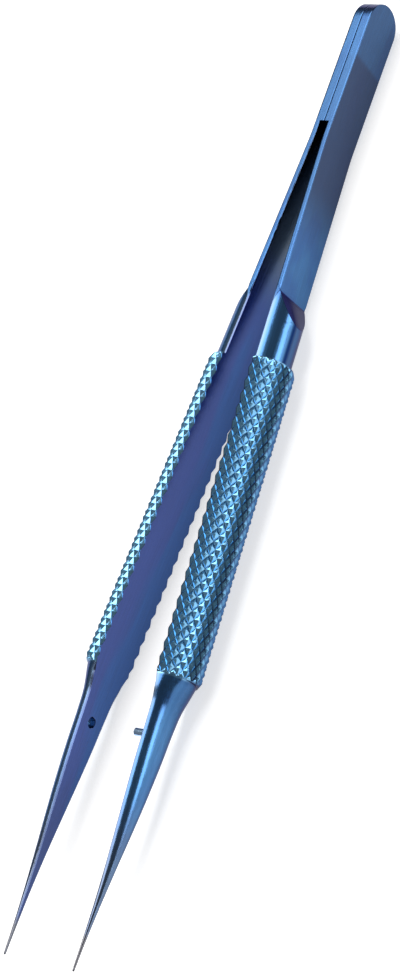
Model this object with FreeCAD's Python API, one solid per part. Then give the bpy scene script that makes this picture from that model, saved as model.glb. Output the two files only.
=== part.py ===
import FreeCAD, Part
import math
import os

# Fine point tweezers with knurled round handles, in millimetres.
#
# Two mirrored arms are joined face to face at the butt. Each arm runs from the flat butt into a flat
# spring, up a ramp to a smooth half-round neck, through a diamond-knurled half-round handle and down
# a shoulder to a slender half-round taper that ends in a needle point. A guide pin stands on the
# inner flat of the right arm and points at a guide hole in the left arm.
#
# The tweezers lie on their side. X runs from the butt to the tips, Y from the left arm to the right
# arm, which is the way the arms open, and Z is up.

# Butt and spring
BUTT_LENGTH = 19.7          # from the round end to the root of the slot
WIDTH = 6.84                # of the butt and the springs
SLOT_WIDTH = 1.36           # between the arms at the root of the slot
SPRING_THICKNESS = 0.77
ROOT_STRAIGHT = 2.4         # from the root of the slot to the bend
ROOT_BEND_RADIUS = 30.0     # on the outer face
SPLAY_ANGLE = 3.16          # each arm, against the joint plane, in degrees
SEAM_BEVEL = 0.1            # along the edges where the two arms meet

# Neck, measured along the arm from the bend at the root
SPRING_LENGTH = 23.5        # from the bend to the foot of the ramp
RAMP_ANGLE = 30.0           # in degrees
NECK_DEPTH = 3.1            # from the inner flat to the crown
NECK_LENGTH = 9.8           # from the foot of the ramp to the knurling

# Knurled handle
HANDLE_RADIUS = 4.0         # over the points of the knurling
KNURL_DEPTH = 0.4
KNURL_PITCH = 1.98          # from point to point along the handle
KNURL_ROWS = 23
KNURL_COLUMNS = 10          # points on the half circle

# Shoulder and taper
SHOULDER_TURN = 2.3         # the taper leans in by this against the handle, in degrees
SHOULDER_BEND_RADIUS = 80.0
TAPER_LENGTH = 40.0         # from the knurling to the tip
SHOULDER_RADIUS = 3.6       # of the round where the shoulder starts
SHOULDER_DEPTH = 3.4        # there, from the inner flat to the crown
TIP_RADIUS = 0.17
TIP_DEPTH = 0.28
# share of the taper's length, radius of its round, depth from the inner flat to the crown
TAPER_STATIONS = [
    (0.04, 3.58, 2.8),
    (0.09, 3.21, 2.37),
    (0.155, 2.98, 2.19),
    (0.275, 2.62, 2.06),
    (0.4, 2.1, 1.83),
    (0.525, 1.5, 1.49),
    (0.65, 0.91, 1.14),
    (0.78, 0.49, 0.76),
    (0.9, 0.28, 0.45),
]

# Guide pin and guide hole
GUIDE_DISTANCE = 7.5        # from the knurling to the pin's axis
PIN_DIAMETER = 1.1
PIN_PROUD = 3.0
PIN_SEAT_DEPTH = 1.4
PIN_CHAMFER = 0.15
HOLE_CLEARANCE = 0.4        # on the diameter, between the pin and the guide hole

# Sizes that follow
HALF_WIDTH = WIDTH / 2
SLOT_WALL = SLOT_WIDTH / 2
OUTER_FACE = SLOT_WALL + SPRING_THICKNESS
BEND_X = BUTT_LENGTH + ROOT_STRAIGHT
SPLAY = math.radians(SPLAY_ANGLE)
KNURL_START = SPRING_LENGTH + NECK_LENGTH
KNURL_LENGTH = KNURL_ROWS * KNURL_PITCH
KNURL_END = KNURL_START + KNURL_LENGTH
VALLEY_RADIUS = HANDLE_RADIUS - KNURL_DEPTH
TURN = math.radians(SHOULDER_TURN)
TURN_TANGENT = SHOULDER_BEND_RADIUS * math.tan(TURN / 2)
MARGIN = 10.0               # how far the cutting bodies reach past the metal

V = FreeCAD.Vector
UP = V(0, 0, 1)


def along(angle):
    """Unit vector in the XY plane at an angle from X."""
    return V(math.cos(angle), math.sin(angle), 0)


def bend(before, corner, after, radius):
    """Straight, tangent arc, straight: the edges from one point to another round a corner."""
    into = (corner - before).normalize()
    out = (after - corner).normalize()
    turn = into.getAngle(out)
    tangent = radius * math.tan(turn / 2)
    start = corner - into * tangent
    end = corner + out * tangent
    inward = (out - into).normalize()
    middle = corner + inward * (radius / math.cos(turn / 2) - radius)
    return [
        Part.makeLine(before, start),
        Part.Arc(start, middle, end).toShape(),
        Part.makeLine(end, after),
    ]


def prism(edges, low, high):
    """Solid with the closed outline of the edges, in the XY plane, from one height to another."""
    face = Part.Face(Part.Wire(edges))
    face.translate(V(0, 0, low))
    return face.extrude(V(0, 0, high - low))


def polygon_edges(points):
    """Straight edges through the points, in order, without the closing one."""
    return [Part.makeLine(a, b) for a, b in zip(points, points[1:])]


def arm_frame():
    """Where the arm's own frame lies: X along the arm from the bend, Y outwards from its flat."""
    return FreeCAD.Placement(V(BEND_X, SLOT_WALL, 0), FreeCAD.Rotation(UP, SPLAY_ANGLE))


def taper_frame():
    """The frame of the taper inside the arm's frame: it leans in after the knurling."""
    corner = V(KNURL_END + TURN_TANGENT, 0, 0)
    start = corner - along(-TURN) * TURN_TANGENT
    return FreeCAD.Placement(start, FreeCAD.Rotation(UP, -SHOULDER_TURN))


def butt_and_spring():
    """Side outline with the step of the slot and the bend, pulled across the width."""
    slot_corner = V(BEND_X, SLOT_WALL, 0)
    slot_end = slot_corner + along(SPLAY) * SPRING_LENGTH
    outer_corner = slot_corner + V(-math.tan(SPLAY / 2), 1, 0) * SPRING_THICKNESS
    outer_end = slot_end + along(SPLAY + math.pi / 2) * SPRING_THICKNESS
    slot_radius = ROOT_BEND_RADIUS + SPRING_THICKNESS
    root = V(BUTT_LENGTH, SLOT_WALL, 0)
    back = V(0, OUTER_FACE, 0)
    edges = bend(root, slot_corner, slot_end, slot_radius)
    edges.append(Part.makeLine(slot_end, outer_end))
    edges += bend(outer_end, outer_corner, back, ROOT_BEND_RADIUS)
    edges += polygon_edges([back, V(0, 0, 0), V(BUTT_LENGTH, 0, 0), root])
    bar = prism(edges, -HALF_WIDTH, HALF_WIDTH)
    return bar.common(round_end())


def round_end():
    """Plan outline of the butt: as wide as the bar, with a full round end, bevelled at the seam."""
    reach = BEND_X + SPRING_LENGTH + MARGIN
    outside = OUTER_FACE + SPRING_LENGTH + MARGIN

    def stadium(half, y):
        """Outline at a height above the joint plane, a straight bar with a half-circle end."""
        top = V(HALF_WIDTH, y, half)
        bottom = V(HALF_WIDTH, y, -half)
        far = V(reach - HALF_WIDTH, 0, 0)
        nose = Part.Arc(top, V(HALF_WIDTH - half, y, 0), bottom).toShape()
        return Part.Wire([nose] + polygon_edges([bottom, bottom + far, top + far, top]))

    full = stadium(HALF_WIDTH, SEAM_BEVEL)
    seam = stadium(HALF_WIDTH - SEAM_BEVEL, 0)
    body = Part.Face(full).extrude(V(0, outside, 0))
    return body.fuse(Part.makeLoft([seam, full], True, True))


def neck():
    """Half-round neck: a round bar as wide as the spring, cut to its flat and by the ramp at its foot."""
    centre = V(SPRING_LENGTH, NECK_DEPTH - HALF_WIDTH, 0)
    bar = Part.makeCylinder(HALF_WIDTH, NECK_LENGTH, centre, V(1, 0, 0))
    outer_half = Part.makeBox(NECK_LENGTH, NECK_DEPTH, WIDTH, V(SPRING_LENGTH, 0, -HALF_WIDTH))
    foot = V(SPRING_LENGTH, SPRING_THICKNESS, 0)
    top = foot + along(math.radians(RAMP_ANGLE)) * (NECK_LENGTH + MARGIN)
    above = V(SPRING_LENGTH, top.y, 0)
    ramp = prism(polygon_edges([foot, top, above, foot]), -WIDTH, WIDTH)
    return bar.common(outer_half).cut(ramp)


def knurl_point(row, column):
    """A corner of the knurling: rows count half pitches along, columns half pitches around.

    Points and valley crossings take turns like the squares of a chessboard. At both ends the points
    sink to the valleys, which is the run-out of the knurling.
    """
    is_point = (row + column) % 2 == 0
    at_end = row in (0, 2 * KNURL_ROWS)
    radius = HANDLE_RADIUS if is_point and not at_end else VALLEY_RADIUS
    angle = math.pi * column / (2 * KNURL_COLUMNS)
    return V(KNURL_START + row * KNURL_PITCH / 2, radius * math.sin(angle), radius * math.cos(angle))


def polygon_face(*corners):
    """Flat face with straight edges through the corners."""
    return Part.Face(Part.makePolygon([*corners, corners[0]]))


def knurled_handle():
    """Half-round handle covered in four-sided points, closed by its flat and its two ends."""
    rows = range(2 * KNURL_ROWS + 1)
    columns = range(2 * KNURL_COLUMNS + 1)
    faces = []
    for row in rows[:-1]:
        for column in columns[:-1]:
            near, beside = knurl_point(row, column), knurl_point(row, column + 1)
            ahead, across = knurl_point(row + 1, column), knurl_point(row + 1, column + 1)
            if (row + column) % 2 == 0:
                faces += [polygon_face(near, ahead, beside), polygon_face(across, beside, ahead)]
            else:
                faces += [polygon_face(near, ahead, across), polygon_face(near, across, beside)]
    for row in (rows[0], rows[-1]):
        faces.append(polygon_face(*[knurl_point(row, column) for column in columns]))
    upper = [knurl_point(row, columns[0]) for row in rows]
    lower = [knurl_point(row, columns[-1]) for row in reversed(rows)]
    faces.append(polygon_face(*upper, *lower))
    solid = Part.Solid(Part.makeShell(faces))
    if solid.Volume < 0:
        solid.reverse()
    return solid


def round_section(station, radius, depth):
    """Circle across the arm, with its crown at a depth from the inner flat."""
    return Part.Wire(Part.Circle(V(station, depth - radius, 0), V(1, 0, 0), radius).toShape())


def taper():
    """Shoulder and needle: a loft through round sections, with its inner side cut to the flat."""
    frame = taper_frame()
    rounds = [round_section(KNURL_END, SHOULDER_RADIUS, SHOULDER_DEPTH)]
    for share, radius, depth in TAPER_STATIONS + [(1.0, TIP_RADIUS, TIP_DEPTH)]:
        section = round_section(share * TAPER_LENGTH, radius, depth)
        section.Placement = frame
        rounds.append(section)
    needle = Part.makeLoft(rounds, True, False)
    start = V(KNURL_END - TURN_TANGENT, 0, 0)
    corner = V(KNURL_END + TURN_TANGENT, 0, 0)
    end = corner + along(-TURN) * (TAPER_LENGTH + MARGIN)
    below = V(0, -WIDTH, 0)
    edges = bend(start, corner, end, SHOULDER_BEND_RADIUS)
    edges += polygon_edges([end, end + below, start + below, start])
    return needle.cut(prism(edges, -WIDTH, WIDTH))


def guide_axis():
    """The guide pin's place on the flat of the taper and its outward direction, in arm terms."""
    frame = taper_frame()
    return frame.multVec(V(GUIDE_DISTANCE, 0, 0)), frame.Rotation.multVec(V(0, 1, 0))


def placed(shape):
    """Move a shape from the arm's frame to the right arm's place."""
    moved = shape.copy()
    moved.Placement = arm_frame().multiply(moved.Placement)
    return moved


def mirrored(shape):
    """The same shape on the other side of the joint plane."""
    return shape.mirror(V(0, 0, 0), V(0, 1, 0))


def blank_arm():
    """An arm of the right side, before its guide pin or guide hole is bored."""
    blank = butt_and_spring()
    for piece in (neck(), knurled_handle(), taper()):
        blank = blank.fuse(placed(piece))
    return blank.removeSplitter()


def guide_pin():
    """Round pin with a chamfered end, seated in the right arm and standing proud of its flat."""
    foot, outward = guide_axis()
    shank = Part.makeCylinder(PIN_DIAMETER / 2, PIN_SEAT_DEPTH + PIN_PROUD - PIN_CHAMFER,
                              foot + outward * PIN_SEAT_DEPTH, -outward)
    nose = Part.makeCone(PIN_DIAMETER / 2, PIN_DIAMETER / 2 - PIN_CHAMFER, PIN_CHAMFER,
                         foot - outward * (PIN_PROUD - PIN_CHAMFER), -outward)
    return placed(shank.fuse(nose))


def pin_seat():
    """Blind bore that the guide pin fills line to line."""
    foot, outward = guide_axis()
    bottom = foot + outward * PIN_SEAT_DEPTH
    return placed(Part.makeCylinder(PIN_DIAMETER / 2, PIN_SEAT_DEPTH + MARGIN, bottom, -outward))


def guide_hole():
    """Bore right through the arm, wide enough for the guide pin to enter freely."""
    foot, outward = guide_axis()
    radius = (PIN_DIAMETER + HOLE_CLEARANCE) / 2
    return placed(Part.makeCylinder(radius, 2 * MARGIN, foot - outward * MARGIN, outward))


def main():
    """Write one file for each piece, with the tweezers centred over the surface they lie on."""
    blank = blank_arm()
    pieces = {
        "left_arm": mirrored(blank.cut(guide_hole())),
        "right_arm": blank.cut(pin_seat()),
        "guide_pin": guide_pin(),
    }
    length = pieces["right_arm"].BoundBox.XMax
    home = V(-length / 2, 0, HANDLE_RADIUS)
    os.makedirs("parts", exist_ok=True)
    for name, shape in pieces.items():
        solid = shape.Solids[0]
        solid.translate(home)
        solid.exportStep("parts/%s.step" % name)
        print(name, "volume %.1f mm3" % solid.Volume, "faces", len(solid.Faces), "valid", solid.isValid())
    print("overall length %.2f mm" % length)


main()
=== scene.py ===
import math
from types import SimpleNamespace

import bmesh
import bpy
import numpy as np
from mathutils import Matrix, Quaternion, Vector


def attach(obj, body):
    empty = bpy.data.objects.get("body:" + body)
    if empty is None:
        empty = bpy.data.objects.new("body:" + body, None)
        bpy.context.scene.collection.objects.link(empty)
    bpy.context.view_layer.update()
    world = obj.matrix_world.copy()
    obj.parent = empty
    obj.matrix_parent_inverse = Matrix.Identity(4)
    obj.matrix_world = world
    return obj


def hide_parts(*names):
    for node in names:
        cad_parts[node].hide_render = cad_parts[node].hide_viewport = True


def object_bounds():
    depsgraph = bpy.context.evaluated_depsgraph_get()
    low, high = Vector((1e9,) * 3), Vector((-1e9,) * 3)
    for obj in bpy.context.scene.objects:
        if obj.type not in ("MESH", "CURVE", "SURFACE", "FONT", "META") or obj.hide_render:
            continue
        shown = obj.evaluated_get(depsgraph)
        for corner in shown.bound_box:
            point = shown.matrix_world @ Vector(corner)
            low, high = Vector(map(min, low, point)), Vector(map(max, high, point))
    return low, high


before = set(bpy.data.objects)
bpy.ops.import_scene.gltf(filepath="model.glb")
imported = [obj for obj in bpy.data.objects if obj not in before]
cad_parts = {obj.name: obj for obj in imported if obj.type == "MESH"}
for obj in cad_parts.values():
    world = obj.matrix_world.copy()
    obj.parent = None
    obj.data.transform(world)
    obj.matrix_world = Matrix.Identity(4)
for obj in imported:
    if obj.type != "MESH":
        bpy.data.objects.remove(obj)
cad_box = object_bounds()

# %% [markdown]
# # Fine point tweezers
#
# These tweezers have two titanium arms, coloured blue and violet by anodising, and a small guide
# pin. The frame holds the plain construction. This file dresses it: each arm becomes one fine mesh
# with crisp cut diamonds, small bevels and a needle tip, and gets a metal with a real finish.
#
# Lengths are in millimetres while a shape is worked out, and become metres in the mesh.

# %% The ruler of the tweezers
MM = 0.001
BUTT_LENGTH = 19.7                              # from the round end to the root of the slot
WIDTH = 6.84                                    # of the butt and the springs
HALF_WIDTH = WIDTH / 2
SLOT_WALL = 0.68                                # half the slot, at its root
SPRING_THICKNESS = 0.77
BUTT_THICKNESS = SLOT_WALL + SPRING_THICKNESS   # of one arm
ROOT_STRAIGHT = 2.4                             # from the root of the slot to the bend
ROOT_BEND_RADIUS = 30.77                        # along the inner flat
SPLAY = math.radians(3.16)                      # how far an arm leans out
SPRING_LENGTH = 23.5                            # from the bend to the foot of the ramp
RAMP_SLOPE = math.tan(math.radians(30.0))
NECK_DEPTH = 3.1                                # from the inner flat to the crown
KNURL_START = 33.3                              # along the arm from the bend
KNURL_PITCH = 1.98
KNURL_ROWS = 23
KNURL_COLUMNS = 10                              # points on the half circle
KNURL_END = KNURL_START + KNURL_ROWS * KNURL_PITCH
HANDLE_RADIUS = 4.0                             # over the points of the diamonds
VALLEY_RADIUS = 3.6                             # at the bottom of the grooves
SHOULDER_TURN = math.radians(2.3)               # how far the needle leans back in
SHOULDER_BEND_RADIUS = 80.0
TAPER_LENGTH = 40.0                             # from the knurling to the tip
GUIDE_DISTANCE = 7.5                            # from the knurling to the guide pin
BEND_X = BUTT_LENGTH + ROOT_STRAIGHT

low, high = cad_box
HOME = np.array([low.x / MM, 0.0, HANDLE_RADIUS])
print("frame box, mm:", [round(v / MM, 2) for v in (*low, *high)])

# %% [markdown]
# ## The camera
#
# The camera comes first, because every later choice is judged through it. The photo was taken from
# well away with a long lens, so lines that run side by side stay nearly parallel. The camera looks
# down on the tweezers, which lie on their side, and is rolled so that the tips point to the lower
# left.

# %% The camera
CAMERA_PLACE = Vector((0.12705, 0.28158, 0.35568))
CAMERA_AIM = Vector((0.00317, -0.00150, 0.00400))
CAMERA_ROLL = math.radians(-52.03)
CAMERA_LENS = 129.5

camera = bpy.data.objects.new("camera", bpy.data.cameras.new("camera"))
bpy.context.scene.collection.objects.link(camera)
camera.data.sensor_width = 36.0
camera.data.lens = CAMERA_LENS
camera.data.clip_start = 0.01
camera.data.clip_end = 20.0
camera.rotation_mode = "QUATERNION"
camera.location = CAMERA_PLACE
level = (CAMERA_AIM - CAMERA_PLACE).to_track_quat("-Z", "Y")
camera.rotation_quaternion = level @ Quaternion((0, 0, 1), CAMERA_ROLL)
bpy.context.scene.camera = camera
print("camera distance, m:", round((CAMERA_AIM - CAMERA_PLACE).length, 3))

# %% [markdown]
# ## One arm as a stack of sections
#
# A machinist turns and mills an arm from one bar, so it is one mesh here too. It could be built
# from several pieces with booleans, but then every joint needs care. Here it is a stack of sections
# along the arm: every section has the same number of points, so neighbours join with simple faces.
#
# A section has five stretches: the inner flat, a bevel, a side, a bevel, and the outer round, and
# the same stretches back on the other side. Where a stretch isn't needed it shrinks to nothing, and
# merging removes it.

# %% How many cells each stretch of a section has
FLAT_CELLS = 10
BEVEL_CELLS = 3
SIDE_CELLS = 4
CELLS_PER_DIAMOND_HALF = 5
ROUND_CELLS = 2 * KNURL_COLUMNS * CELLS_PER_DIAMOND_HALF
ROUND_START = FLAT_CELLS + BEVEL_CELLS + SIDE_CELLS + BEVEL_CELLS
print("points in a section:", ROUND_START + ROUND_CELLS + 2 * BEVEL_CELLS + SIDE_CELLS)

# %% A section from its sizes


def eased(cells, margin=0.04):
    """Even shares from 0 to 1, but with a narrow cell at both ends.

    The narrow cells keep the turn of the shading close to the edge, so the flat looks flat.
    """
    inner = np.linspace(margin, 1 - margin, cells - 1)
    return np.concatenate([[0.0], inner, [1.0]])


def closed_section(half, low_edge, high_edge, outer, lean=1.0, straight=False):
    """Sections as (depth, height) pairs, for arrays of sizes.

    The flat lies at depth 0 and the side at height half. The inner bevel is a quarter ellipse or a
    straight chamfer, low_edge deep and lean times as high. The side ends at depth high_edge, and
    another quarter ellipse joins it to the outer curve, which runs from the top to the bottom.
    """
    half, low_edge, high_edge, lean = (
        np.asarray(v, float).reshape(-1, 1) for v in (half, low_edge, high_edge, lean))
    zero = np.zeros_like(half)
    flat_half = half - low_edge * lean
    share = eased(FLAT_CELLS)
    flat = np.stack([zero + 0 * share, flat_half * (1 - 2 * share)], -1)
    turn = np.linspace(0, math.pi / 2, BEVEL_CELLS + 1)
    in_share, up_share = 1 - np.cos(turn), np.sin(turn)
    if straight:
        in_share = up_share = turn / (math.pi / 2)
    bevel = np.stack([low_edge * in_share, flat_half + lean * low_edge * up_share], -1)
    climb = eased(SIDE_CELLS, 0.1)
    side = np.stack([low_edge + (high_edge - low_edge) * climb, half + 0 * climb], -1)
    corner = outer[:, :1, :]
    shift_depth = (corner[..., 0] - high_edge) * np.sin(turn)
    shift_height = (half - corner[..., 1]) * (1 - np.cos(turn))
    edge = np.stack([high_edge + shift_depth, half - shift_height], -1)
    down = np.array([1.0, -1.0])
    return np.concatenate([
        flat,
        (bevel * down)[:, 1:],
        (side * down)[:, 1:],
        (edge * down)[:, 1:],
        outer[:, ::-1][:, 1:],
        edge[:, ::-1][:, 1:],
        side[:, ::-1][:, 1:],
        bevel[:, ::-1][:, 1:-1],
    ], axis=1)


BESIDE_CUT = 0.35       # share of the round's points on each side of a cut


def round_angles(start, middle=None):
    """Angles from the crown for the outer points, from start at the top to minus start.

    Where an angle middle is given, only the points between the two outer shares keep within it,
    so that a flat cut across the crown ends on a line of the mesh.
    """
    u = np.linspace(0, 1, ROUND_CELLS + 1)
    if middle is None:
        return start[:, None] * (1 - 2 * u)
    beside = round(ROUND_CELLS * BESIDE_CUT) / ROUND_CELLS
    knots = np.array([0, beside, 1 - beside, 1])
    return np.stack([np.interp(u, knots, [a, b, -b, -a]) for a, b in zip(start, middle)])


print("shares across a flat:", np.round(eased(FLAT_CELLS), 2))

# %% [markdown]
# ## The path of an arm
#
# A section needs a place. The path is a ruler that runs along the inner flat: straight in the butt,
# a step out at the root of the slot, a soft bend, a long straight, and a second soft bend after the
# handle, where the needle leans back in.

# %% Placing sections along the path


def spring_path(distance):
    """Place and direction for distances after the root of the slot: straight, arc, straight."""
    tangent = ROOT_BEND_RADIUS * math.tan(SPLAY / 2)
    first = ROOT_STRAIGHT - tangent
    arc = ROOT_BEND_RADIUS * SPLAY
    turned = np.clip((distance - first) / ROOT_BEND_RADIUS, 0, SPLAY)
    beyond = np.maximum(distance - first - arc, 0)
    x = np.minimum(distance, first) + ROOT_BEND_RADIUS * np.sin(turned) + beyond * math.cos(SPLAY)
    y = ROOT_BEND_RADIUS * (1 - np.cos(turned)) + beyond * math.sin(SPLAY)
    return BUTT_LENGTH + x, SLOT_WALL + y, turned


def arm_path(station):
    """Place and direction for distances along the arm from its bend."""
    x = BEND_X + station * math.cos(SPLAY)
    y = SLOT_WALL + station * math.sin(SPLAY)
    return x, y, np.full_like(station, SPLAY)


def taper_path(distance):
    """Place and direction for distances after the handle: an arc that leans in, then straight."""
    turned = np.clip(distance / SHOULDER_BEND_RADIUS, 0, SHOULDER_TURN)
    beyond = np.maximum(distance - SHOULDER_BEND_RADIUS * SHOULDER_TURN, 0)
    along = SHOULDER_BEND_RADIUS * np.sin(turned) + beyond * math.cos(SHOULDER_TURN)
    inward = SHOULDER_BEND_RADIUS * (1 - np.cos(turned)) + beyond * math.sin(SHOULDER_TURN)
    x = BEND_X + (KNURL_END + along) * math.cos(SPLAY) + inward * math.sin(SPLAY)
    y = SLOT_WALL + (KNURL_END + along) * math.sin(SPLAY) - inward * math.cos(SPLAY)
    return x, y, SPLAY - turned


def placed_sections(path, sections):
    """Points in space: each section stands square to the path at its place."""
    x, y, angle = (v[:, None] for v in path)
    depth, height = sections[..., 0], sections[..., 1]
    return np.stack([x - depth * np.sin(angle), y + depth * np.cos(angle), height], -1)


tip_x, tip_y, tip_angle = (float(v[0]) for v in taper_path(np.array([TAPER_LENGTH])))
print("tip at, mm:", round(tip_x, 2), round(tip_y, 2), "lean:", round(math.degrees(tip_angle), 2))

# %% [markdown]
# ## Butt, spring and neck
#
# The butt and the spring are a flat bar with a small bevel on each edge. The outer curve of a flat
# bar is a round of enormous radius, so the same formula serves both. The neck is a round bar cut to
# the width of the spring, and a milled ramp climbs onto it. Where its round meets the flat, the
# edge is a straight chamfer with a narrow side next to it, which catches a thin line of light.
#
# Where the bar changes suddenly, as at the root of the slot, the next section stands only a
# hair's breadth further on, so that the face between the two is steep.

# %% Flat bar and neck
FLAT_RADIUS = 20000.0
EDGE_BEVEL = 0.14
SEAM_BEVEL = 0.06
NECK_EDGE = 0.1         # depth of the chamfer beside the flat
CHAMFER_LEAN = 1.6      # how many times as high as deep the chamfer is
NECK_SIDE = 0.05        # depth of the narrow side next to it
SIDE_FADE = 2.4         # length over which the spring's straight side turns into the round
ROUND_GAP = 0.02        # depth between that side and the start of the round
CROWN_GROWTH = 1.2      # length over which the points spread again after the ramp
CROWN_SHARE = 0.3       # of the round's angle, over which they have spread then
LARGEST_CUT = 0.98      # of the round's angle, at the foot of the ramp
STEEP = 0.02            # length of a steep face between two sections
ramp_top = SPRING_LENGTH + (NECK_DEPTH - SPRING_THICKNESS) / RAMP_SLOPE


def bar_sections(count, thickness, inner_bevel):
    """Count equal sections of a flat bar with bevelled edges."""
    top = HALF_WIDTH - EDGE_BEVEL
    start = np.full(count, math.asin(top / FLAT_RADIUS))
    angle = round_angles(start)
    centre = thickness - FLAT_RADIUS
    outer = np.stack([centre + FLAT_RADIUS * np.cos(angle), FLAT_RADIUS * np.sin(angle)], -1)
    ones = np.ones(count)
    side_end = thickness - EDGE_BEVEL
    return closed_section(HALF_WIDTH * ones, inner_bevel * ones, side_end * ones, outer)


def neck_sections(station):
    """Sections of the neck: its round, cut by the ramp plane wherever that lies lower.

    At the foot of the ramp the side of the spring is still straight. Within a short stretch it
    turns into the round, which then starts right at the bevel of the flat.
    """
    centre = NECK_DEPTH - HALF_WIDTH
    ramp = SPRING_THICKNESS + (station - SPRING_LENGTH) * RAMP_SLOPE
    straight = (1 - np.clip((station - SPRING_LENGTH) / SIDE_FADE, 0, 1)) ** 2
    narrow = NECK_EDGE + NECK_SIDE
    side_end = narrow + (SPRING_THICKNESS - EDGE_BEVEL - narrow) * straight
    start = np.arccos((side_end + ROUND_GAP - centre) / HALF_WIDTH)
    cut = np.arccos(np.clip((ramp - centre) / HALF_WIDTH, -1, 1))
    over = np.clip((station - ramp_top) / CROWN_GROWTH, 0, 1)
    crown = start * CROWN_SHARE * over
    middle = np.where(over > 0, crown, np.minimum(cut, start * LARGEST_CUT))
    angle = round_angles(start, middle)
    depth = np.minimum(centre + HALF_WIDTH * np.cos(angle), ramp[:, None])
    height = HALF_WIDTH * np.sin(angle)
    outer = np.stack([depth, height], -1)
    half = height[:, 0] + (HALF_WIDTH - height[:, 0]) * straight
    edge = EDGE_BEVEL * straight + NECK_EDGE * (1 - straight)
    lean = straight + CHAMFER_LEAN * (1 - straight)
    return closed_section(half, edge, np.maximum(side_end, edge), outer, lean, straight=True)


butt_x = np.linspace(HALF_WIDTH, BUTT_LENGTH, 12)
butt = placed_sections((butt_x, 0 * butt_x, 0 * butt_x),
                       bar_sections(len(butt_x), BUTT_THICKNESS, SEAM_BEVEL))
tangent_gap = ROOT_BEND_RADIUS * (SPLAY / 2 - math.tan(SPLAY / 2)) * 2
spring_end = ROOT_STRAIGHT + SPRING_LENGTH + tangent_gap
spring_run = np.concatenate([[STEEP, 0.1], np.linspace(0.8, spring_end, 40)[:-1]])
spring = placed_sections(spring_path(spring_run),
                         bar_sections(len(spring_run), SPRING_THICKNESS, EDGE_BEVEL))
neck_run = np.concatenate([np.linspace(SPRING_LENGTH, ramp_top, 36),
                           np.linspace(ramp_top, KNURL_START, 16)[1:]])
neck = placed_sections(arm_path(neck_run), neck_sections(neck_run))
print("sections: butt", len(butt), "spring", len(spring), "neck", len(neck))

# %% [markdown]
# ## The knurled handle
#
# Diamond knurling is two families of V grooves that cross on a cylinder. Let a and b count the
# grooves of the two families. Between grooves the metal rises as a ridge, and where both families
# have cut, only the lower of the two ridges is left: a four-sided pyramid. Its height is one minus
# twice the larger distance to the middle of a ridge. The points are a little worn, and the ends of
# the handle are chamfered down to the bottom of the grooves. A texture could draw diamonds too, but
# the outline of the handle shows them, so they are real here.

# %% The knurled handle
WORN_POINT = 0.03       # share of the height that wear has taken off
END_CHAMFER = 0.8       # length over which the diamonds run out


def knurl_sections():
    """Sections of the handle: a half round whose radius follows the height of the diamonds."""
    rings = 2 * KNURL_ROWS * CELLS_PER_DIAMOND_HALF
    row = np.linspace(0, 2 * KNURL_ROWS, rings + 1)[:, None]
    column = np.linspace(0, 2 * KNURL_COLUMNS, ROUND_CELLS + 1)[None, :]
    a, b = (row + column) / 2, (row - column) / 2
    away = np.maximum(np.abs(a - np.round(a)), np.abs(b - np.round(b)))
    height = np.minimum((1 - 2 * away) / (1 - WORN_POINT), 1)
    station = KNURL_START + row * KNURL_PITCH / 2
    station[0] += STEEP
    station[-1] -= STEEP
    to_end = np.minimum(station - KNURL_START, KNURL_END - station)
    height = np.minimum(height, to_end / END_CHAMFER)
    radius = VALLEY_RADIUS + (HANDLE_RADIUS - VALLEY_RADIUS) * height
    angle = math.pi / 2 - math.pi * column / (2 * KNURL_COLUMNS)
    outer = np.stack([radius * np.cos(angle), radius * np.sin(angle)], -1)
    zero = np.zeros(rings + 1)
    return station[:, 0], closed_section(outer[:, 0, 1], zero, zero, outer)


knurl_run, knurl_shape = knurl_sections()
knurl = placed_sections(arm_path(knurl_run), knurl_shape)
print("sections in the handle:", len(knurl))

# %% [markdown]
# ## Shoulder and needle
#
# After the handle the bar is turned down to a slender half-round needle. Its width and its depth
# are smooth curves through a few sizes along its length. A cubic through the sizes, with slopes
# from the neighbours, has no kinks to catch the light. Towards the tip the section grows rounder:
# its widest place moves away from the flat.

# %% The needle
# share of the length, half the width, depth from the flat to the crown, depth of the widest place
NEEDLE_SIZES = np.array([
    (0.0, 3.59, 3.34, 0.0),
    (0.04, 3.42, 2.68, 0.0),
    (0.09, 2.98, 2.26, 0.0),
    (0.155, 2.74, 2.08, 0.0),
    (0.275, 2.43, 2.0, 0.0),
    (0.4, 1.97, 1.83, 0.0),
    (0.525, 1.43, 1.54, 0.02),
    (0.65, 0.88, 1.16, 0.23),
    (0.78, 0.47, 0.73, 0.26),
    (0.9, 0.25, 0.41, 0.15),
    (1.0, 0.14, 0.23, 0.09),
])
NEEDLE_EDGE = 0.2       # deepest chamfer beside the flat
EDGE_SHARE = 0.12       # of the depth, where the needle is slim
NEEDLE_SIDE = 0.05      # deepest narrow side
SIDE_SHARE = 0.1        # of the depth, where the needle is slim
EDGE_GROWTH = 1.2       # length over which the chamfer starts after the handle
TIP_ROUNDING = 0.16


def smooth_curve(at, knots, values):
    """Cubic through the values: each slope is a weighted mean of the two chords that meet there."""
    gap = np.diff(knots)
    chord = np.diff(values) / gap
    inner = (chord[:-1] * gap[1:] + chord[1:] * gap[:-1]) / (gap[1:] + gap[:-1])
    slope = np.concatenate([[chord[0]], inner, [chord[-1]]])
    k = np.clip(np.searchsorted(knots, at, side="right") - 1, 0, len(gap) - 1)
    t = (at - knots[k]) / gap[k]
    return (values[k] * (1 + 2 * t) * (1 - t) ** 2 + slope[k] * gap[k] * t * (1 - t) ** 2
            + values[k + 1] * t * t * (3 - 2 * t) + slope[k + 1] * gap[k] * t * t * (t - 1))


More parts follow.
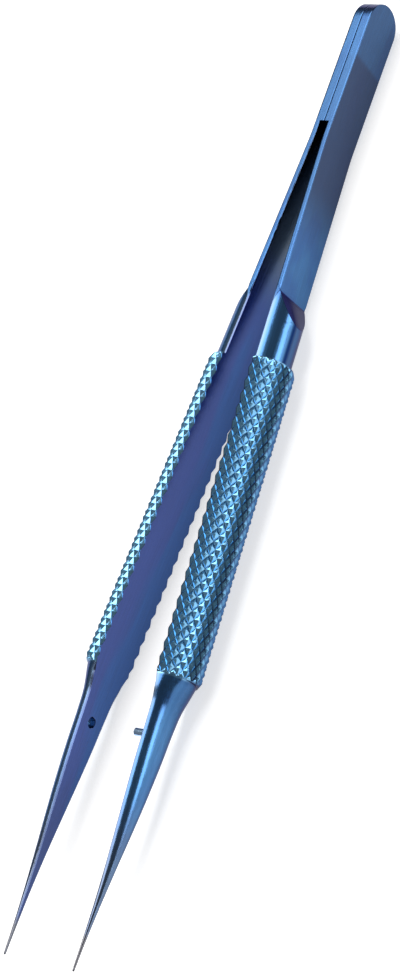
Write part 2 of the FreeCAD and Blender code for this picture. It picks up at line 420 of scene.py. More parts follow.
def needle_sections(distance):
    """Sections of the needle: half an ellipse over a narrow side and a chamfer next to the flat.

    Over the last stretch the section shrinks as an ellipse does, which rounds the tip.
    """
    share = distance / TAPER_LENGTH
    knots, *sizes = NEEDLE_SIZES.T
    wide, depth, widest = (smooth_curve(share, knots, size) for size in sizes)
    grown = np.clip(distance / EDGE_GROWTH, 0, 1)
    edge = np.minimum(NEEDLE_EDGE, EDGE_SHARE * depth) * grown
    side_end = edge + np.minimum(NEEDLE_SIDE, SIDE_SHARE * depth) * grown
    widest = np.maximum(widest, side_end)
    start = np.arccos((side_end - widest) / (depth - widest))
    angle = round_angles(start)
    outer = np.stack([widest[:, None] + (depth - widest)[:, None] * np.cos(angle),
                      wide[:, None] * np.sin(angle)], -1)
    sections = closed_section(outer[:, 0, 1], edge, side_end, outer, CHAMFER_LEAN, straight=True)
    left = np.clip((TAPER_LENGTH - distance) / TIP_ROUNDING, 0, 1)
    shrink = np.sqrt(1 - (1 - left) ** 2)[:, None, None]
    middle = np.stack([depth / 2, 0 * depth], -1)[:, None, :]
    return middle + (sections - middle) * shrink


SHOULDER_LENGTH = 4.0
needle_run = np.concatenate([
    np.linspace(0, SHOULDER_LENGTH, 25)[:-1],
    np.linspace(SHOULDER_LENGTH, TAPER_LENGTH - TIP_ROUNDING, 90)[:-1],
    TAPER_LENGTH - TIP_ROUNDING * np.cos(np.linspace(0, math.pi / 2, 8)),
])
needle = placed_sections(taper_path(needle_run), needle_sections(needle_run))
print("sections in the needle:", len(needle))

# %% [markdown]
# ## Closing the stack and making the mesh
#
# The faces between neighbouring sections are quads, apart from the knurling: there each cell is cut
# along its own diagonal, so that the grooves stay straight lines. The round end of the butt is half
# a turn of the section's own outline, as on a lathe.

# %% Faces between sections


def stack_faces(count, points, first=0):
    """Quads between each section and the next, all round."""
    i = np.arange(count - 1)[:, None] * points + first
    j = np.arange(points)[None, :]
    k = (j + 1) % points
    return np.stack([i + j, i + points + j, i + points + k, i + k], -1).reshape(-1, 4)


def knurl_faces(count, points, first):
    """The same faces for the handle, with the round part as triangles that follow the grooves."""
    quads = stack_faces(count, points, first).reshape(count - 1, points, 4)
    on_round = np.zeros(points, bool)
    on_round[ROUND_START:ROUND_START + ROUND_CELLS] = True
    cells = quads[:, on_round]
    row = np.arange(count - 1)[:, None] // CELLS_PER_DIAMOND_HALF
    column = np.arange(ROUND_CELLS)[None, ::-1] // CELLS_PER_DIAMOND_HALF
    even = (row + column) % 2 == 0
    beside, across, ahead, near = (cells[..., k] for k in range(4))
    falling = np.stack([near, ahead, beside, across, beside, ahead], -1)
    rising = np.stack([near, ahead, across, near, across, beside], -1)
    triangles = np.where(even[..., None], falling, rising).reshape(-1, 3)
    return quads[:, ~on_round].reshape(-1, 4), triangles


END_CELLS = 40


def butt_end(section):
    """Half a turn of the butt's outline about the middle of its round end.

    The outline is the lower half of a section, from the middle of the flat to the crown. A point
    that lies below the middle plane by reach moves on a half circle of that radius.
    """
    half_points = FLAT_CELLS // 2 + BEVEL_CELLS + SIDE_CELLS + BEVEL_CELLS + ROUND_CELLS // 2
    outline = section[FLAT_CELLS // 2:FLAT_CELLS // 2 + half_points + 1]
    reach = -outline[:, 2]
    turn = np.linspace(0, math.pi, END_CELLS + 1)[:, None]
    x = HALF_WIDTH - reach * np.sin(turn)
    y = outline[:, 1] + 0 * turn
    points = np.stack([x, y, -reach * np.cos(turn)], -1)
    across = points.shape[1]
    i = np.arange(END_CELLS)[:, None] * across
    j = np.arange(across - 1)[None, :]
    faces = np.stack([i + j, i + j + 1, i + across + j + 1, i + across + j], -1)
    return points.reshape(-1, 3), faces.reshape(-1, 4)


print("cells round the butt's end:", END_CELLS)

# %% [markdown]
# The stack has double points where a stretch has shrunk to nothing. They are merged, and the faces
# are turned to point outwards. Edges that turn by more than the sharp angle stay crisp, and all
# others are shaded smooth.

# %% From points and faces to a finished mesh
SHARP_ANGLE = 30.0
DOUBLE_DISTANCE = 2e-7      # in metres, as is the next
NO_LENGTH = 1e-7


def closed_mesh(name, points, faces, sharp_angle=SHARP_ANGLE):
    """Mesh in metres from points in millimetres: merged, facing outwards, with crisp edges."""
    mesh = bpy.data.meshes.new(name)
    mesh.from_pydata(((points + HOME) * MM).tolist(), [], faces)
    shape = bmesh.new()
    shape.from_mesh(mesh)
    bmesh.ops.remove_doubles(shape, verts=shape.verts, dist=DOUBLE_DISTANCE)
    bmesh.ops.dissolve_degenerate(shape, edges=shape.edges, dist=NO_LENGTH)
    bmesh.ops.recalc_face_normals(shape, faces=shape.faces)
    open_edges = sum(1 for e in shape.edges if len(e.link_faces) != 2)
    shape.to_mesh(mesh)
    shape.free()
    mesh.shade_smooth()
    mesh.set_sharp_from_angle(angle=math.radians(sharp_angle))
    piece = bpy.data.objects.new(name, mesh)
    bpy.context.scene.collection.objects.link(piece)
    print(name, "faces", len(mesh.polygons), "open edges", open_edges)
    return piece


def arm_mesh(name, side):
    """One arm: the whole stack, its round end and its tip. Side is 1 for right, -1 for left."""
    tip = np.repeat(needle[-1:].mean(1, keepdims=True), needle.shape[1], 1)
    before = np.concatenate([butt, spring, neck])
    after = np.concatenate([needle, tip])
    stack = np.concatenate([before, knurl, after])
    count = stack.shape[1]
    quads, triangles = knurl_faces(len(knurl), count, len(before) * count)
    ends, end_faces = butt_end(butt[0])
    last_knurl = (len(before) + len(knurl) - 1) * count
    faces = (
        stack_faces(len(before) + 1, count).tolist()
        + quads.tolist()
        + triangles.tolist()
        + stack_faces(len(after) + 1, count, last_knurl).tolist()
        + (end_faces + len(stack) * count).tolist()
    )
    points = np.concatenate([stack.reshape(-1, 3), ends]) * np.array([1, side, 1])
    return closed_mesh(name, points, faces)


right_arm = arm_mesh("right_arm_fine", 1)
left_arm = arm_mesh("left_arm_fine", -1)

# %% [markdown]
# ## Guide pin and guide hole
#
# The pin keeps the needles in line while the arms close. It is a turned pin with a rounded end,
# pressed into a bore of the right arm. The left arm has a wider hole that the pin enters. Both
# bores are cut with a boolean, which suits a single clean hole in a dense mesh.

# %% The guide pin and the bores
PIN_RADIUS = 0.55
PIN_PROUD = 3.0         # how far the pin stands out of the flat
PIN_SEAT = 1.4          # depth of its bore
SEAT_CLEARANCE = 0.02
HOLE_RADIUS = 0.75
HOLE_CHAMFER = 0.05
CUT_REACH = 6.0         # how far a cutter goes past the metal


def turned(name, side, profile, around=64, sharp_angle=SHARP_ANGLE):
    """A turned body from (depth into the arm, radius) pairs, about the axis of the guide.

    Each pair becomes a ring: foot + depth * outward + radius * (cos t * along + sin t * up).
    """
    (x,), (y,), (angle,) = taper_path(np.array([GUIDE_DISTANCE]))
    outward = np.array([-math.sin(angle), math.cos(angle), 0])
    along = np.array([math.cos(angle), math.sin(angle), 0])
    up = np.array([0, 0, 1.0])
    depth, radius = (np.array(v, float) for v in zip(*profile))
    turn = np.linspace(0, 2 * math.pi, around, endpoint=False)
    ring = np.cos(turn)[:, None] * along + np.sin(turn)[:, None] * up
    foot = np.array([x, y, 0])
    points = foot + depth[:, None, None] * outward + radius[:, None, None] * ring
    points = points.reshape(-1, 3) * np.array([1, side, 1])
    return closed_mesh(name, points, stack_faces(len(profile), around).tolist(), sharp_angle)


def bored(arm, cutter):
    """Cut the bore out of the arm and throw the cutter away."""
    cut = arm.modifiers.new("bore", "BOOLEAN")
    cut.operation = "DIFFERENCE"
    cut.object = cutter
    cut.solver = "EXACT"
    result = arm.evaluated_get(bpy.context.evaluated_depsgraph_get())
    shape = bpy.data.meshes.new_from_object(result)
    arm.modifiers.remove(cut)
    old = arm.data
    arm.data = shape
    bpy.data.meshes.remove(old)
    bpy.data.objects.remove(cutter)
    shape.set_sharp_from_angle(angle=math.radians(SHARP_ANGLE))
    print(arm.name, "after boring, faces", len(shape.polygons))


mouth = HOLE_RADIUS + HOLE_CHAMFER
hole_profile = [
    (-CUT_REACH, 0), (-CUT_REACH, mouth + CUT_REACH), (0, mouth),
    (HOLE_CHAMFER, HOLE_RADIUS), (CUT_REACH, HOLE_RADIUS), (CUT_REACH, 0),
]
bored(left_arm, turned("guide_hole_cutter", -1, hole_profile))
seat_radius = PIN_RADIUS + SEAT_CLEARANCE
seat_profile = [(-1, 0), (-1, seat_radius), (PIN_SEAT, seat_radius), (PIN_SEAT, 0)]
bored(right_arm, turned("pin_seat_cutter", 1, seat_profile))

# %% The pin itself
# distance from the end of the pin, and how much slimmer it is there
PIN_NOSE = [(0.16, 0.0), (0.12, 0.006), (0.03, 0.1), (0.0, 0.18)]

pin_foot = PIN_SEAT - SEAT_CLEARANCE
NEAR_FLAT = 0.3         # two more rings there keep the cells short
pin_profile = [
    (pin_foot, 0), (pin_foot, PIN_RADIUS), (NEAR_FLAT, PIN_RADIUS), (-NEAR_FLAT, PIN_RADIUS),
    *((up - PIN_PROUD, PIN_RADIUS - slimmer) for up, slimmer in PIN_NOSE),
    (-PIN_PROUD, 0),
]
guide_pin = turned("guide_pin_fine", 1, pin_profile, around=72, sharp_angle=40.0)

# %% [markdown]
# ## Building finishes from nodes
#
# A finish is a small network. These helpers add one node each, so that a finish below reads as a
# list of steps.

# %% Helpers for node networks


def node(tree, kind, inputs=None, **settings):
    """Add a node with its settings, and give its inputs values or links."""
    made = tree.nodes.new(kind)
    for key, value in settings.items():
        setattr(made, key, value)
    for key, value in (inputs or {}).items():
        if isinstance(value, bpy.types.NodeSocket):
            tree.links.new(value, made.inputs[key])
        else:
            made.inputs[key].default_value = value
    return made


def calculate(tree, operation, a, b=0.0, c=0.0):
    """One step of arithmetic on numbers."""
    return node(tree, "ShaderNodeMath", {0: a, 1: b, 2: c}, operation=operation).outputs[0]


def product(tree, first, *others):
    """All the numbers multiplied."""
    for other in others:
        first = calculate(tree, "MULTIPLY", first, other)
    return first


def blend_range(tree, value, start, end, low_value=0.0, high_value=1.0):
    """Smooth change from low_value to high_value while value goes from start to end."""
    settings = {
        "Value": value, "From Min": start, "From Max": end,
        "To Min": low_value, "To Max": high_value,
    }
    return node(tree, "ShaderNodeMapRange", settings, interpolation_type="SMOOTHSTEP").outputs[0]


def mixed(tree, share, a, b, blend_type="MIX"):
    """Colour between a and b: a where the share is 0, b where it is 1."""
    settings = {0: share, 6: a, 7: b}
    return node(tree, "ShaderNodeMix", settings, data_type="RGBA", blend_type=blend_type).outputs[2]


def colour(red, green, blue):
    """Scene colour from the 0 to 255 numbers of a colour picker."""
    channels = [v / 255 for v in (red, green, blue)]
    linear = [v / 12.92 if v < 0.04045 else ((v + 0.055) / 1.055) ** 2.4 for v in channels]
    return (*linear, 1.0)


def new_finish(name):
    """Empty material with its tree and its shader."""
    finish = bpy.data.materials.new(name)
    finish.use_nodes = True
    shader = finish.node_tree.nodes["Principled BSDF"]
    return finish, finish.node_tree, shader


def link(tree, source, shader, socket):
    """Lead a pattern to one of the shader's sockets."""
    tree.links.new(source, shader.inputs[socket])


print("half grey in linear light:", round(colour(128, 128, 128)[0], 3))

# %% [markdown]
# ## Anodised titanium
#
# Anodising grows a clear oxide on titanium, a few hundred atoms thick, and its thickness decides
# the colour: blue, then violet where it is thinner. The metal below is the mirror, so this finish
# is a metal with a coloured reflection and a thin clear coat. One image could hold all its colours,
# but it would fit one mesh only. Here every colour follows from where a point lies on the arm, so
# the finish fits both arms.
#
# First comes the ruler: Object coordinates, turned to run along the arm and scaled to millimetres.

# %% Where a point lies on an arm
BEND_MIDDLE = KNURL_END + SHOULDER_BEND_RADIUS * math.tan(SHOULDER_TURN / 2)


def arm_coordinates(tree, side):
    """Millimetres along the arm from its bend, outwards from its flat, and up."""
    place = node(tree, "ShaderNodeTexCoord").outputs["Object"]
    turn = -SPLAY
    x, y = BEND_X + HOME[0], SLOT_WALL + HOME[1]
    settings = {
        "Vector": place,
        "Location": (y * math.sin(turn) - x * math.cos(turn),
                     -x * math.sin(turn) - y * math.cos(turn),
                     -HANDLE_RADIUS),
        "Rotation": (0, 0, turn),
        "Scale": (1 / MM, side / MM, 1 / MM),
    }
    return node(tree, "ShaderNodeMapping", settings).outputs[0]


def place_on_arm(tree, side):
    """The ruler, its three numbers, and the depth under the flat.

    The needle leans in after the handle, so its depth is outward + tan(lean) * way past the bend.
    """
    ruler = arm_coordinates(tree, side)
    split = node(tree, "ShaderNodeSeparateXYZ", {0: ruler})
    along, outward, height = (split.outputs[axis] for axis in "XYZ")
    past_bend = calculate(tree, "MAXIMUM", calculate(tree, "SUBTRACT", along, BEND_MIDDLE), 0.0)
    depth = calculate(tree, "MULTIPLY_ADD", past_bend, math.tan(SHOULDER_TURN), outward)
    return SimpleNamespace(ruler=ruler, along=along, outward=outward, height=height, depth=depth)


# %% [markdown]
# Three noises keep the metal from looking like plastic: a slow drift of the oxide along the arm,
# patches in it, and the fine lines that grinding and polishing leave. Each is a noise stretched
# along the arm, which is done by scaling the ruler down in that direction.

# %% Unevenness of the oxide and of the polish
DRIFT_SCALE = (0.045, 0.25, 0.25)
PATCH_SCALE = (0.12, 0.3, 0.3)
LINE_SCALE = (0.12, 9.0, 9.0)


def stretched_noise(tree, at, scale, detail, seed, offset=0.0):
    """Noise on the ruler, with a scale for each of its directions."""
    stretched = node(tree, "ShaderNodeMapping", {
        "Vector": at.ruler, "Location": (seed + offset, seed, offset), "Scale": scale})
    settings = {"Vector": stretched.outputs[0], "Scale": 1.0, "Detail": detail}
    return node(tree, "ShaderNodeTexNoise", settings).outputs[0]


# %% [markdown]
# Next come the parts of an arm that have a colour of their own. Each is a mask: 1 on the part, 0
# off it, and a soft step between them. The flat counts as the flat up to a hair's depth, and the
# sides of the spring, which are as high as the bar, count as outer metal too.

# %% Masks for the parts of an arm
FLAT_DEPTH = (0.02, 0.12)       # where the flat's colour gives way to the outer one
SIDE_BAND = (0.12, 0.02)        # how far below the bar's full height its side starts and is full
RAMP_BLEND = 2.0
NEEDLE_BLEND = (2.0, 8.0)       # after the knurling
# share of painted light on the neck and the needle
PAINTED_LIGHT_SHARE = 0.35


def add_masks(tree, at):
    """Masks for what lies after the ramp, off the flat and on the needle."""
    before_ramp = blend_range(tree, at.along, SPRING_LENGTH, SPRING_LENGTH + RAMP_BLEND, 1.0, 0.0)
    at.after_ramp = calculate(tree, "SUBTRACT", 1.0, before_ramp)
    above = calculate(tree, "ABSOLUTE", at.height)
    at_side = blend_range(tree, above, HALF_WIDTH - SIDE_BAND[0], HALF_WIDTH - SIDE_BAND[1])
    at.at_side = product(tree, at_side, before_ramp)
    at.off_flat = calculate(tree, "MAXIMUM", blend_range(tree, at.depth, *FLAT_DEPTH), at.at_side)
    needle_from, needle_full = (KNURL_END + v for v in NEEDLE_BLEND)
    at.on_needle = blend_range(tree, at.along, needle_from, needle_full, 0.0, PAINTED_LIGHT_SHARE)


# %% [markdown]
# The flats run from blue at the lower edge to violet at the upper one, and the border between the
# two wanders with the drift. Towards the tip, painted shade darkens the flat. The outer metal is a
# plainer blue with deeper patches, and it is paler on the neck and the needle: painted light, which
# stands in for the light band along the rounds there.

# %% Flats and outer metal
OXIDE_BLUE = colour(46, 98, 149)
OXIDE_DEEP = colour(30, 73, 135)
OXIDE_VIOLET = colour(42, 64, 128)
# pale blue, painted on as the light band of the rounds
PALE_PAINTED_LIGHT = colour(84, 146, 200)
# dark navy, painted on as shade
PAINTED_SHADE_BLUE = colour(18, 44, 92)
VIOLET_SPREAD = 2.5             # half the height over which blue turns violet
# where painted shade darkens the flat of the needle
DARK_FLAT = (88.0, 102.0)       # where the flat of the needle grows darker


def flats_and_outer_metal(tree, at, drift, patches):
    """The colours of the flat and of the outer metal, by depth under the flat."""
    wander = blend_range(tree, drift, 0.35, 0.65, -VIOLET_SPREAD, VIOLET_SPREAD)
    to_violet = blend_range(tree, calculate(tree, "ADD", at.height, wander),
                            -VIOLET_SPREAD, VIOLET_SPREAD)
    flat = mixed(tree, to_violet, OXIDE_DEEP, OXIDE_VIOLET)
    # painted shade: the flat grows darker towards the tip
    flat = mixed(tree, blend_range(tree, at.along, *DARK_FLAT, 0.0, 0.5), flat, PAINTED_SHADE_BLUE)
    outer = mixed(tree, blend_range(tree, patches, 0.45, 0.65, 0.0, 0.5), OXIDE_BLUE, OXIDE_DEEP)
    # painted light: paler outer metal on the neck and the needle
    before_knurl = blend_range(tree, at.along, KNURL_START, KNURL_START + 0.5, PAINTED_LIGHT_SHARE, 0.0)
    on_neck = product(tree, at.after_ramp, before_knurl)
    painted_light = calculate(tree, "MAXIMUM", at.on_needle, on_neck)
    return mixed(tree, at.off_flat, flat, mixed(tree, painted_light, outer, PALE_PAINTED_LIGHT))


# %% [markdown]
# The bath hardly reaches into the narrow slot, so the metal is greyer there. The outer butt is
# darker than the rest: painted shade, which stands in for the dark surroundings that its broad
# faces reflect. Its very end, behind a slanted line, is blue again.

# %% The butt and the slot
# slate, painted on the outer butt as shade
SLATE_PAINTED_SHADE = colour(24, 44, 78)
SLOT_GREY = colour(84, 98, 110)
BUTT_FADE = (6.0, 18.0)         # along the arm
SLOT_FADE = 8.0                 # how much earlier the grey of the slot ends
BLUE_END = (-12.9, -12.0)
END_SLANT = 0.1


def painted_butt_shade_and_slot_grey(tree, at, base):
    """Painted slate shade on the outer butt and grey in the slot, both fading along the spring."""
    earlier = blend_range(tree, at.off_flat, 0.0, 1.0, SLOT_FADE, 0.0)
    fading = calculate(tree, "SUBTRACT", at.along, earlier)
    on_butt = blend_range(tree, fading, *BUTT_FADE, 0.9, 0.0)
    slanted = calculate(tree, "MULTIPLY_ADD", at.height, END_SLANT, at.along)
    off_side = calculate(tree, "MULTIPLY_ADD", at.at_side, -0.7, 1.0)
    # painted shade: slate on the outer butt
    share = product(tree, on_butt, blend_range(tree, slanted, *BLUE_END, 0.65, 1.0), off_side)
    return mixed(tree, share, base, mixed(tree, at.off_flat, SLOT_GREY, SLATE_PAINTED_SHADE))


# %% [markdown]
# The lower part of the rounds gets painted shade, which stands in for the dark surroundings that
# they reflect, with its darkest line a little above the crown. The milled face of the ramp gets
# painted shade as well: the distance to the plane of the ramp finds it.

# %% The lower rounds and the ramp
DARK_FROM = (1.35, 0.85)        # height where the dark starts and is full
DARK_TO = (0.75, -0.1)          # height where it starts to ease off and has eased off
RAMP_SKIN = (0.02, 0.06)        # distance from the ramp's plane


def painted_shade_on_rounds(tree, at, base):
    """Paint shade on the lower rounds. Also returns the mask of their darkest painted line."""
    # painted shade on the lower rounds, darkest on a line a little above the crown
    below = product(tree, blend_range(tree, at.height, *DARK_FROM),
                    blend_range(tree, at.height, *DARK_TO, 1.0, 0.6),
                    blend_range(tree, at.along, KNURL_END - 1.0, KNURL_END + 1.0, 1.0, 0.2))
    shaded = product(tree, below, at.off_flat, at.after_ramp)
    line = product(tree, shaded, blend_range(tree, at.height, DARK_TO[0], 0.2, 1.0, 0.0))
    return mixed(tree, shaded, base, PAINTED_SHADE_BLUE), line


def painted_shade_on_ramp(tree, at, base):
    """Paint shade on the ramp. Also returns the mask of its upper part, which is the darkest."""
    foot = SPRING_THICKNESS - SPRING_LENGTH * RAMP_SLOPE
    plane = calculate(tree, "MULTIPLY_ADD", at.along, RAMP_SLOPE, foot)
    distance = calculate(tree, "ABSOLUTE", calculate(tree, "SUBTRACT", at.depth, plane))
    # painted shade on the milled face of the ramp
    on_ramp = product(tree, blend_range(tree, distance, *RAMP_SKIN, 0.85, 0.0), at.off_flat)
    high_ramp = product(tree, on_ramp, blend_range(tree, at.height, -1.4, 1.4, 0.15, 1.0))
    return mixed(tree, on_ramp, base, PAINTED_SHADE_BLUE), high_ramp


# %% [markdown]
# Where the rounds meet the flat, a painted highlight stands in for the thin line of light along the
# edge. The chamfer there is duller, and the narrow side and the rim after it are paler.

# %% Painted highlight beside the flat
# pale colours, painted on as the line of light along the edge
RIM_PAINTED_LIGHT = colour(100, 126, 158)
CHAMFER_PAINTED_LIGHT = colour(84, 98, 132)
EDGE_LIGHT_START = (0.006, 0.02)      # depth under the flat
EDGE_LIGHT_END = (0.25, 0.8)
CHAMFER_END = (0.1, 0.16)


def painted_edge_light(tree, at, base):
    """Painted highlight by depth under the flat, from the ramp to the tip."""
    near_flat = product(tree, blend_range(tree, at.depth, *EDGE_LIGHT_START),
                        blend_range(tree, at.depth, *EDGE_LIGHT_END, 1.0, 0.0), at.after_ramp)
    # painted highlight along the edge beside the flat
    edge_light = mixed(tree, blend_range(tree, at.depth, *CHAMFER_END), CHAMFER_PAINTED_LIGHT, RIM_PAINTED_LIGHT)
    return mixed(tree, near_flat, base, mixed(tree, at.on_needle, edge_light, OXIDE_DEEP))


# %% [markdown]
# The knurling comes out of the bath a little greener. Light and shade are painted on it by height:
# the grooves get a painted glint on the upper side and painted shade on the lower side, and the
# faces are painted darker towards the lower side. The colour follows the distance from the handle's
# axis: at the radius of the grooves it is the groove's, and a little further out it is that of the
# faces.

# %% The knurling
OXIDE_CYAN = colour(124, 192, 236)
# painted glint in the grooves on the upper side
GROOVE_PAINTED_GLINT = colour(136, 194, 232)
GROOVE_HEIGHT = 0.2             # how far above the bottom the groove's colour ends


def knurl_colours(tree, at, base):
    """Painted glint and shade on the grooves and the faces, by radius and height."""
    after_start = blend_range(tree, at.along, KNURL_START - 0.1, KNURL_START + 0.1)
    before_end = blend_range(tree, at.along, KNURL_END - 0.1, KNURL_END + 0.3, 1.0, 0.0)
    squares = (calculate(tree, "POWER", v, 2.0) for v in (at.outward, at.height))
    radius = calculate(tree, "SQRT", calculate(tree, "ADD", *squares))
    # painted light and shade: cyan faces above, darker blue below, glint and shade in the grooves
    face_and_shade = mixed(tree, blend_range(tree, at.height, 0.2, -1.6), OXIDE_CYAN, OXIDE_BLUE)
    groove_glint_and_shade = mixed(tree, blend_range(tree, at.height, 2.0, 0.0), GROOVE_PAINTED_GLINT, PAINTED_SHADE_BLUE)
    out_of_groove = blend_range(tree, radius, VALLEY_RADIUS, VALLEY_RADIUS + GROOVE_HEIGHT)
    share = product(tree, after_start, before_end, at.off_flat, 0.9)
    return mixed(tree, share, base, mixed(tree, out_of_groove, groove_glint_and_shade, face_and_shade))


# %% [markdown]
# The fine lines tint the colour a little. Past the first third of its length the needle slowly
# loses its colour, and its end is ground bare. Its bare flat is painted darker than the bare round,
# as shade.

# %% Polishing lines and bare tips
BARE_METAL = colour(104, 104, 110)
# bare metal of the flat, painted darker as shade
BARE_FLAT_PAINTED_SHADE = colour(82, 86, 96)
THIN_OXIDE = (95.0, 110.0)      # along the arm
BARE_TIP = (114.3, 116.8)


def line_tint(tree, lines, base):
    """Multiply the colour by a grey that follows the lines."""
    grey = blend_range(tree, lines, 0.3, 0.7, 0.88, 1.1)
    tint = node(tree, "ShaderNodeCombineColor", {0: grey, 1: grey, 2: grey}).outputs[0]
    return mixed(tree, 1.0, base, tint, "MULTIPLY")


def bare_tip(tree, at, patches, base):
    """Grey metal towards the tip, with a border that the patches make uneven."""
    uneven = calculate(tree, "MULTIPLY_ADD", patches, 3.0, at.along)
    thin = product(tree, blend_range(tree, uneven, *THIN_OXIDE, 0.0, 0.5),
                   calculate(tree, "MULTIPLY_ADD", at.off_flat, 0.8, 0.2))
    bare = calculate(tree, "MAXIMUM", thin, blend_range(tree, uneven, *BARE_TIP))
    # painted shade: the bare flat is darker than the bare round
    return mixed(tree, bare, base, mixed(tree, at.off_flat, BARE_FLAT_PAINTED_SHADE, BARE_METAL))


# %% [markdown]
# All of it together: the layers go one over the other, and then the shader gets its metal, its
# roughness and its clear coat. The coat thins out on the painted dark line of the rounds and on the
# ramp, which would look milky otherwise.

# %% The finish of an arm
COAT = 0.5
COAT_LOSS = 0.45


def anodised_titanium(name, side, seed):
    """The finish of one arm. The seed moves the noises, so that the arms aren't twins."""
    finish, tree, shader = new_finish(name)
    at = place_on_arm(tree, side)
    drift = stretched_noise(tree, at, DRIFT_SCALE, 1.0, seed)
    patches = stretched_noise(tree, at, PATCH_SCALE, 2.0, seed, 40.0)
    lines = stretched_noise(tree, at, LINE_SCALE, 3.0, seed, 7.0)
    add_masks(tree, at)
    base = flats_and_outer_metal(tree, at, drift, patches)
    base = painted_butt_shade_and_slot_grey(tree, at, base)
    base, painted_dark_line = painted_shade_on_rounds(tree, at, base)
    base, high_ramp = painted_shade_on_ramp(tree, at, base)
    base = painted_edge_light(tree, at, base)
    base = knurl_colours(tree, at, base)
    base = line_tint(tree, lines, base)
    base = bare_tip(tree, at, patches, base)
    link(tree, base, shader, "Base Color")
    link(tree, blend_range(tree, lines, 0.3, 0.7, 0.17, 0.26), shader, "Roughness")
    thin_coat = calculate(tree, "MAXIMUM", painted_dark_line, high_ramp)
    link(tree, calculate(tree, "MULTIPLY_ADD", thin_coat, -COAT_LOSS, COAT), shader, "Coat Weight")
    shader.inputs["Metallic"].default_value = 1.0
    shader.inputs["Specular Tint"].default_value = (0.2, 0.24, 0.36, 1)
    shader.inputs["Coat Roughness"].default_value = 0.18
    shader.inputs["Coat IOR"].default_value = 1.6
    bump = node(tree, "ShaderNodeBump", {"Height": lines, "Strength": 0.12, "Distance": 0.02 * MM})
    link(tree, bump.outputs[0], shader, "Normal")
    print(name, "has", len(tree.nodes), "nodes")
    return finish


right_arm.data.materials.append(anodised_titanium("anodised_titanium_right", 1, 3.0))
left_arm.data.materials.append(anodised_titanium("anodised_titanium_left", -1, 11.0))

# %% [markdown]
# ## Steel of the guide pin
#
# The pin is plain turned steel. Turning leaves rings round it, so the pattern is stretched across
# its axis and runs fast along it, which is outwards on the ruler.

# %% Steel of the guide pin
STEEL_BLUE = colour(150, 194, 240)
STEEL_PALE = colour(200, 228, 255)
RING_SCALE = (0.4, 14.0, 0.4)


def pin_steel(name):
    """Bright steel with turning marks."""
    finish, tree, shader = new_finish(name)
    at = place_on_arm(tree, 1)
    rings = stretched_noise(tree, at, RING_SCALE, 2.0, 0.0)
    base = mixed(tree, blend_range(tree, rings, 0.35, 0.65), STEEL_BLUE, STEEL_PALE)
    link(tree, base, shader, "Base Color")
    link(tree, blend_range(tree, rings, 0.35, 0.65, 0.14, 0.22), shader, "Roughness")
    shader.inputs["Metallic"].default_value = 1.0
    bump = node(tree, "ShaderNodeBump", {"Height": rings, "Strength": 0.1, "Distance": 0.02 * MM})
    link(tree, bump.outputs[0], shader, "Normal")
    print(name, "has", len(tree.nodes), "nodes")
    return finish


guide_pin.data.materials.append(pin_steel("pin_steel"))

# %% [markdown]
# ## Tying the pieces to the frame
#
# Each fine piece stands for its plain node and rides on the only body.

# %% Pieces and the frame
for piece, plain, slot in (
    (left_arm, "left_arm", "anodised_titanium"),
    (right_arm, "right_arm", "anodised_titanium"),
    (guide_pin, "guide_pin", "pin_steel"),
):
    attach(piece, "root")
    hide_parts(plain)
    print(piece.name, "stands for", plain)

# %% [markdown]
# ## Floor and light
#
# Metal shows what is around it, so the light is most of its look. A large soft lamp behind on the
# left gives the pale rims, and a smaller one low on the right gives the long light band on the
# rounds. The sky between them stays dim, which gives the dark bands. The camera sees the sky white.
#
# The floor is white where the camera or a reflection sees it, and still takes the soft shadow. The
# light of the lamps fades far from the tweezers, so the floor glows a little more there.

# %% The floor
FLOOR_REACH = 1.6
FLOOR_GREY = 0.8
FLOOR_LIFT = 0.62
FAR_FLOOR = (0.2, 0.7)      # metres from the middle

corners = [(-1, -1), (1, -1), (1, 1), (-1, 1)]
floor_mesh = bpy.data.meshes.new("floor")
floor_mesh.from_pydata([(x * FLOOR_REACH, y * FLOOR_REACH, 0) for x, y in corners], [],
                       [(0, 1, 2, 3)])
floor = bpy.data.objects.new("floor", floor_mesh)
bpy.context.scene.collection.objects.link(floor)

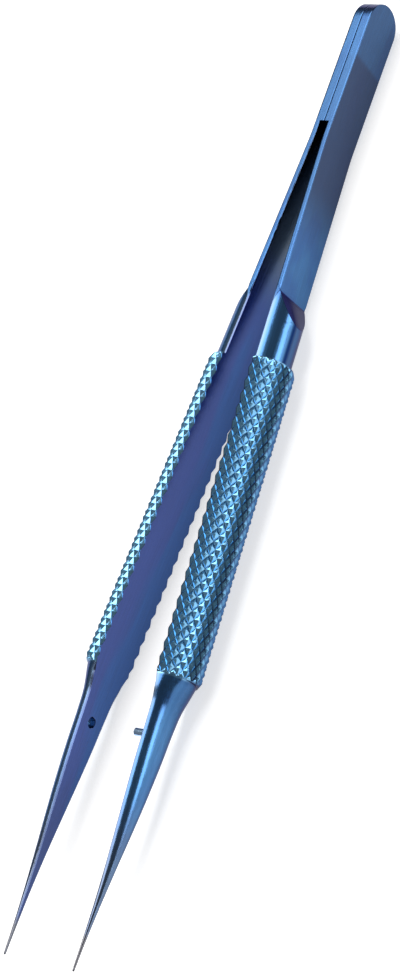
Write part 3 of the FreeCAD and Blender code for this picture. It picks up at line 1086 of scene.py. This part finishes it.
# %% The white of the floor
paper, tree, shader = new_finish("floor_paper")
shader.inputs["Base Color"].default_value = (FLOOR_GREY, FLOOR_GREY, FLOOR_GREY, 1)
shader.inputs["Roughness"].default_value = 1.0
shader.inputs["Specular IOR Level"].default_value = 0.0
shader.inputs["Emission Color"].default_value = (1, 1, 1, 1)
rays = node(tree, "ShaderNodeLightPath").outputs
seen = calculate(tree, "MAXIMUM", rays["Is Camera Ray"], rays["Is Glossy Ray"])
seen = calculate(tree, "MAXIMUM", seen, rays["Is Transmission Ray"])
place = node(tree, "ShaderNodeTexCoord").outputs["Object"]
distance = node(tree, "ShaderNodeVectorMath", {0: place}, operation="LENGTH").outputs["Value"]
far = product(tree, blend_range(tree, distance, *FAR_FLOOR, 0.0, 1 - FLOOR_LIFT),
              rays["Is Camera Ray"])
link(tree, calculate(tree, "MULTIPLY_ADD", seen, FLOOR_LIFT, far), shader, "Emission Strength")
floor_mesh.materials.append(paper)
print("floor, m across:", 2 * FLOOR_REACH)

# %% The lamps


def softbox(name, direction, distance, width, height, power):
    """Rectangular lamp that looks at the tweezers from a direction, with its width along them."""
    data = bpy.data.lights.new(name, "AREA")
    data.shape = "RECTANGLE"
    data.size = width
    data.size_y = height
    data.energy = power
    lamp = bpy.data.objects.new(name, data)
    bpy.context.scene.collection.objects.link(lamp)
    lamp.location = Vector(direction).normalized() * distance
    back = lamp.location.normalized()
    side = (Vector((1, 0, 0)) - back * back.x).normalized()
    lamp.rotation_mode = "QUATERNION"
    lamp.rotation_quaternion = Matrix((side, back.cross(side), back)).transposed().to_quaternion()
    print(name, "power", power, "W")
    return lamp


softbox("lamp_high_left", (-0.375, -0.287, 0.881), distance=0.9, width=1.08, height=0.63, power=7.7)
softbox("lamp_low_right", (-0.25, 0.945, 0.21), distance=0.9, width=0.5, height=0.34, power=2.1)

# %% The sky
SKY_RIGHT = 0.18
SKY_LEFT = 0.24
WHITE = (1, 1, 1, 1)

sky = bpy.data.worlds.new("studio")
bpy.context.scene.world = sky
sky.use_nodes = True
tree = sky.node_tree
background = tree.nodes["Background"]
direction = node(tree, "ShaderNodeTexCoord").outputs["Generated"]
to_right = node(tree, "ShaderNodeSeparateXYZ", {0: direction}).outputs["Y"]
dim = blend_range(tree, to_right, 0.2, -0.8, SKY_RIGHT, SKY_LEFT)
rays = node(tree, "ShaderNodeLightPath").outputs
link(tree, mixed(tree, rays["Is Camera Ray"], dim, WHITE), background, "Color")
background.inputs["Strength"].default_value = 1.0
bpy.context.scene.view_settings.view_transform = "Standard"
print("sky, left and right:", SKY_LEFT, SKY_RIGHT)
